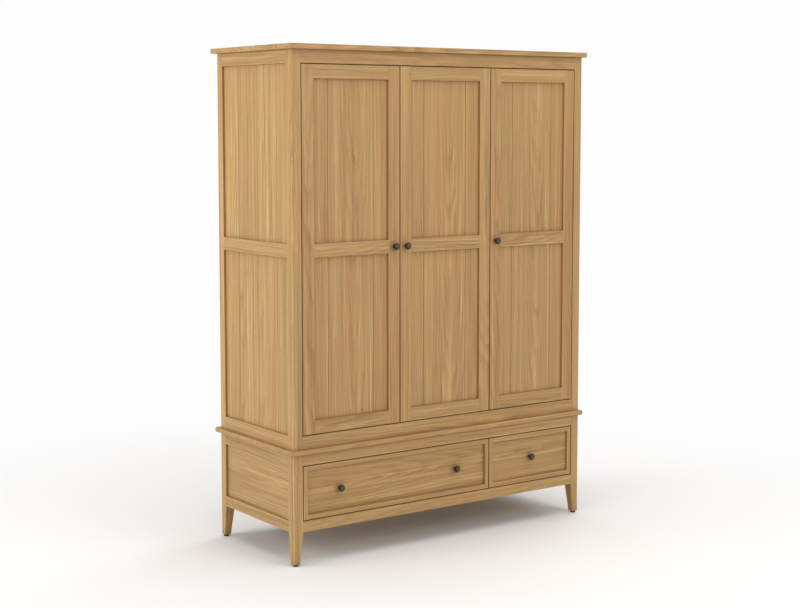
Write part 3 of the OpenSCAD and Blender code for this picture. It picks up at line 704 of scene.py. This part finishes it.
low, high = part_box("top_board")
step = (high.y - low.y) / PLANKS
boards = []
for i in range(PLANKS):
    plank = start((low.x, low.y + i * step, low.z), (high.x, low.y + (i + 1) * step, high.z))
    bpy.ops.object.mode_set(mode="EDIT")
    ease(plank, PLANK_SEAM, along(0), steps=1, mark=PLANK_MARK)
    ease(plank, TOP_EASE,
         lambda e: along(1)(e) and abs(abs(e.verts[0].co.x) - high.x) < SAME_PLACE)
    bpy.ops.object.mode_set(mode="OBJECT")
    boards.append(saw(plank, "across", "oak_front"))
fix("top_board_planks", boards, "case", "oak_front", "top_board")


# ---------- Pivots and catches ----------
# Blackened steel leaves and pins are let into the rails, and a dark catch with a magnet is
# screwed behind the top rail for each door.

black_steel = brushed(
    "blackened_steel", (0.10, 0.095, 0.09), (0.07, 0.066, 0.062), 0.42, (500, 500, 500))
catch_plastic = soft_surface(
    "catch_plastic", (0.035, 0.026, 0.018), (0.05, 0.038, 0.028), 0.48, 120)
finish_node("pivot_leaves", black_steel)
finish_node("door_catches", catch_plastic)


# ---------- Doors ----------
# Each door is an oak frame of two stiles and three rails round two flat panels. A panel is
# glued up from a wide board between two narrow ones, and the wide one shows a cathedral.

DOOR_FRAME = 0.054
STAVE_CUTS = (0.068, 0.279)
# Where the log's middle lies from the narrow boards of a panel, and its range in the wide one
LEFT_STAVE_PITH, RIGHT_STAVE_PITH = (0.10, 0.05), (-0.12, 0.05)
WIDE_STAVE_SIDEWAYS, WIDE_STAVE_BEHIND = (0.015, 0.035), (0.05, 0.08)
# Width of a frame's eased edges, and the width and tone of those that face a gap: their dark tone
# is painted shade from the gap
FRAME_EDGE = 0.0007
GAP_EDGE, GAP_PAINTED_SHADE = 0.0012, -0.7
# Rings of a knob: distance from the door's face and radius
KNOB_PROFILE = (
    (0.0, 0.0066), (0.0006, 0.007), (0.0016, 0.007), (0.0023, 0.0064), (0.0032, 0.0054),
    (0.0050, 0.0050), (0.0072, 0.0050), (0.0088, 0.0058), (0.0106, 0.0082), (0.0124, 0.0112),
    (0.0140, 0.0131), (0.0154, 0.0139), (0.0166, 0.0140), (0.0180, 0.0139), (0.0196, 0.0133),
    (0.0216, 0.0121), (0.0234, 0.0108), (0.0243, 0.0101), (0.0249, 0.0092), (0.0250, 0.0060),
    (0.0250, 0.0020),
)
KNOB_SIDES = 56
# The part of a knob further out than this is worn where fingers touch it
WORN_FROM = 0.020


def frame_board(low, high, around, grain):
    """A board of a door or drawer frame, its edges along the gap softer and darkened with painted
    shade from the gap.
    """
    outer_low, outer_high = around
    piece = start(low, high)

    def at_gap(edge):
        middle = (edge.verts[0].co + edge.verts[1].co) / 2
        gaps = [min(middle[i] - outer_low[i], outer_high[i] - middle[i]) for i in (0, 2)]
        return middle.y < outer_low.y + SAME_PLACE and min(gaps) < SAME_PLACE

    bpy.ops.object.mode_set(mode="EDIT")
    ease(piece, GAP_EDGE, at_gap, mark=GAP_PAINTED_SHADE)
    ease(piece, FRAME_EDGE, sharp_along(GRAIN_AXIS[grain]))
    bpy.ops.object.mode_set(mode="OBJECT")
    return saw(piece, grain, "oak_front")


# Dark bronze paint, worn to a greyer tone where fingers touch it
bronze = soft_surface(
    "dark_bronze", (0.021, 0.013, 0.008), (0.034, 0.023, 0.014), 0.42, 220, 0.4)
worn_bronze = soft_surface(
    "worn_bronze", (0.064, 0.048, 0.036), (0.094, 0.073, 0.056), 0.5, 260, 0.4)


def knob_seats(node, count=1):
    """The middles of a node's knobs, where each is screwed to the front."""
    low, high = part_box(node)
    reach, middle = (high.z - low.z) / 2, (low.z + high.z) / 2
    across = [low.x + reach, high.x - reach] if count == 2 else [(low.x + high.x) / 2]
    return [Vector((x, high.y, middle)) for x in across]


first_seat = knob_seats("left_door_knob")[0]
first_knob = turned(first_seat, (0, -1, 0), KNOB_PROFILE, KNOB_SIDES)
first_knob.data.materials.append(bronze)
first_knob.data.materials.append(worn_bronze)
for f in first_knob.data.polygons:
    if f.normal.y < -0.8 and f.center.y < first_seat.y - WORN_FROM:
        f.material_index = 1

for side in ("left", "middle", "right"):
    body = side + "_door"
    low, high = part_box(body + "_stiles")
    x0, x1 = low.x + DOOR_FRAME, high.x - DOOR_FRAME
    around = (low, high)
    boards = [
        frame_board((a, low.y, low.z), (b, high.y, high.z), around, "up")
        for a, b in ((low.x, x0), (x1, high.x))
    ]
    fix(body + "_stile_boards", boards, body, "oak_front", body + "_stiles")
    heights = (low.z, middle_z - DOOR_FRAME / 2, high.z - DOOR_FRAME)
    boards = [
        frame_board((x0, low.y, z), (x1, high.y, z + DOOR_FRAME), around, "across")
        for z in heights
    ]
    fix(body + "_rail_boards", boards, body, "oak_front", body + "_rails")
    boards = []
    for a, b in ((heights[0] + DOOR_FRAME, heights[1]), (heights[1] + DOOR_FRAME, heights[2])):
        wide_pith = (timber.uniform(*WIDE_STAVE_SIDEWAYS), timber.uniform(*WIDE_STAVE_BEHIND))
        piths = (LEFT_STAVE_PITH, wide_pith, RIGHT_STAVE_PITH)
        boards += staves(
            (x0 - IN_GROOVE, low.y + RECESS, a - IN_GROOVE),
            (x1 + IN_GROOVE, low.y + RECESS + PANEL_T, b + IN_GROOVE), 0,
            [x0 + cut for cut in STAVE_CUTS], "oak_front", piths)
    fix(body + "_panel_staves", boards, body, "oak_front", body + "_panels")
    finish_node(body + "_fittings", black_steel)
    knobs = [again(first_knob, seat - first_seat) for seat in knob_seats(body + "_knob")]
    fix(body + "_turned_knob", knobs, body, "dark_bronze", body + "_knob")


# ---------- Drawers ----------
# A drawer front is a narrow oak frame round a flat panel with its grain across. Behind it is
# a box of 14 mm oak with a bottom slid into grooves, and the knobs are screwed from inside.

DRAWER_FRAME = 0.020
DRAWER_PITH = {"sideways": 0.03, "behind": 0.07}
# The ends of a box stand this much lower than its sides, and its back clears the bottom
BOX_T = 0.014
BOX_STEP, BOTTOM_CLEAR = 0.002, 0.016
BOX_ROUND = 0.0016

for side, knob_node, screw_node, count in (
        ("wide", "wide_drawer_knobs", "wide_drawer_screws", 2),
        ("narrow", "narrow_drawer_knob", "narrow_drawer_screw", 1)):
    body = side + "_drawer"
    low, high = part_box(body + "_frame")
    x0, x1 = low.x + DRAWER_FRAME, high.x - DRAWER_FRAME
    around = (low, high)
    boards = [
        frame_board((a, low.y, low.z), (b, high.y, high.z), around, "up")
        for a, b in ((low.x, x0), (x1, high.x))
    ]
    boards += [
        frame_board((x0, low.y, z), (x1, high.y, z + DRAWER_FRAME), around, "across")
        for z in (low.z, high.z - DRAWER_FRAME)
    ]
    fix(body + "_frame_boards", boards, body, "oak_front", body + "_frame")
    face = board(
        (x0 - IN_GROOVE, low.y + RECESS, low.z + DRAWER_FRAME - IN_GROOVE),
        (x1 + IN_GROOVE, low.y + RECESS + PANEL_T, high.z - DRAWER_FRAME + IN_GROOVE),
        "across", "oak_front", **DRAWER_PITH)
    fix(body + "_panel_board", [face], body, "oak_front", body + "_panel")
    low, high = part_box(body + "_box")
    boards = [
        board((x, low.y, low.z), (x + BOX_T, high.y, high.z), "deep", "oak_inside", BOX_ROUND)
        for x in (low.x, high.x - BOX_T)
    ]
    boards += [
        board((low.x + BOX_T, y, low.z + BOX_STEP + lift),
              (high.x - BOX_T, y + BOX_T, high.z - BOX_STEP), "across", "oak_inside", BOX_ROUND)
        for y, lift in ((low.y, 0.0), (high.y - BOX_T, BOTTOM_CLEAR))
    ]
    fix(body + "_box_boards", boards, body, "oak_inside", body + "_box")
    finish_node(body + "_bottom", oak("oak_inside", "across"))
    finish_node(screw_node, black_steel)
    knobs = [again(first_knob, seat - first_seat) for seat in knob_seats(knob_node, count)]
    fix(body + "_turned_knobs", knobs, body, "dark_bronze", knob_node)
bpy.data.objects.remove(first_knob)


# ---------- Floor and light ----------
# A pale matt studio floor that fades into a white surround. A large soft lamp from the left
# gives the side its light, two overhead make the shadow, and two fill in right and front.

FLOOR_SIZE = 60.0
FLOOR_GREY = (0.785, 0.784, 0.783, 1)
FADE_FROM, FADE_TO = 1.0, 2.8
WHITE = 0.985
SURROUND, SURROUND_LIGHT = (1, 0.99, 0.975, 1), 0.50
# Place of each lamp, the point it faces, its side in metres, its watts and its colour
LAMPS = {
    "left_softbox": ((-6.0, 0.8, 2.4), (0, 0, 1.0), 3.5, 177, (1, 0.99, 0.97)),
    "rear_overhead_softbox": ((0.6, 0.6, 4.8), (0, 0, 0), 4.5, 91, (1, 1, 1)),
    "overhead_softbox": ((-0.6, -1.2, 4.6), (-0.2, -0.4, 0), 4.0, 73, (1, 1, 1)),
    "right_softbox": ((4.0, 1.5, 4.0), (0, 0, 0.5), 3.0, 55, (1, 1, 1)),
    "front_softbox": ((1.5, -6.0, 3.4), (0, 0, 0.9), 3.0, 106, (1, 1, 1)),
}

bpy.ops.object.select_all(action="DESELECT")
bpy.ops.mesh.primitive_plane_add(size=FLOOR_SIZE, location=(0, 0, 0))
floor = bpy.context.object
floor.name = "studio_floor"
m = bpy.data.materials.new("pale_floor")
m.use_nodes = True
t = m.node_tree
t.nodes.remove(t.nodes["Principled BSDF"])
where = place(t, "ShaderNodeTexCoord").outputs["Object"]
away = place(t, "ShaderNodeVectorMath", {0: where}, operation="LENGTH").outputs["Value"]
fade = {0: away, 1: FADE_FROM, 2: FADE_TO}
far = place(t, "ShaderNodeMapRange", fade, interpolation_type="SMOOTHSTEP").outputs[0]
matt = place(t, "ShaderNodeBsdfDiffuse", {"Color": FLOOR_GREY}).outputs[0]
glow = place(t, "ShaderNodeEmission", {"Color": (1, 1, 1, 1), "Strength": WHITE}).outputs[0]
mixed = place(t, "ShaderNodeMixShader", {0: far, 1: matt, 2: glow}).outputs[0]
t.links.new(mixed, t.nodes["Material Output"].inputs["Surface"])
floor.data.materials.append(m)

world = bpy.data.worlds.new("studio")
bpy.context.scene.world = world
world.use_nodes = True
t = world.node_tree
white = {"Color": (1, 1, 1, 1), "Strength": WHITE}
seen = place(t, "ShaderNodeBackground", white).outputs[0]
lit = t.nodes["Background"]
lit.inputs["Color"].default_value = SURROUND
lit.inputs["Strength"].default_value = SURROUND_LIGHT
ray = place(t, "ShaderNodeLightPath").outputs["Is Camera Ray"]
chosen = place(t, "ShaderNodeMixShader", {0: ray, 1: lit.outputs[0], 2: seen}).outputs[0]
t.links.new(chosen, t.nodes["World Output"].inputs["Surface"])

for name, (spot, target, side, power, colour) in LAMPS.items():
    lamp = bpy.data.lights.new(name, "AREA")
    lamp.shape, lamp.size, lamp.energy, lamp.color = "SQUARE", side, power, colour
    holder = bpy.data.objects.new(name, lamp)
    bpy.context.scene.collection.objects.link(holder)
    holder.location = spot
    facing = (Vector(target) - Vector(spot)).to_track_quat("-Z", "Y")
    holder.rotation_euler = facing.to_euler()


# ---------- Camera ----------
# It stands to the left of the front, at standing eye height, and looks slightly down. A small
# shift of the lens lifts the wardrobe in the frame.

CAMERA_PLACE = (-3.7709, -5.2353, 1.7115)
TILT, TURN = math.radians(84.69), math.radians(-35.586)
SENSOR, LENS, SHIFT = 36, 69.38, -0.05

camera = bpy.data.objects.new("camera", bpy.data.cameras.new("camera"))
bpy.context.scene.collection.objects.link(camera)
bpy.context.scene.camera = camera
camera.location = CAMERA_PLACE
camera.rotation_euler = (TILT, 0, TURN)
camera.data.sensor_width = SENSOR
camera.data.lens = LENS
camera.data.shift_y = SHIFT
bpy.context.scene.view_settings.view_transform = "Standard"

bpy.context.view_layer.update()
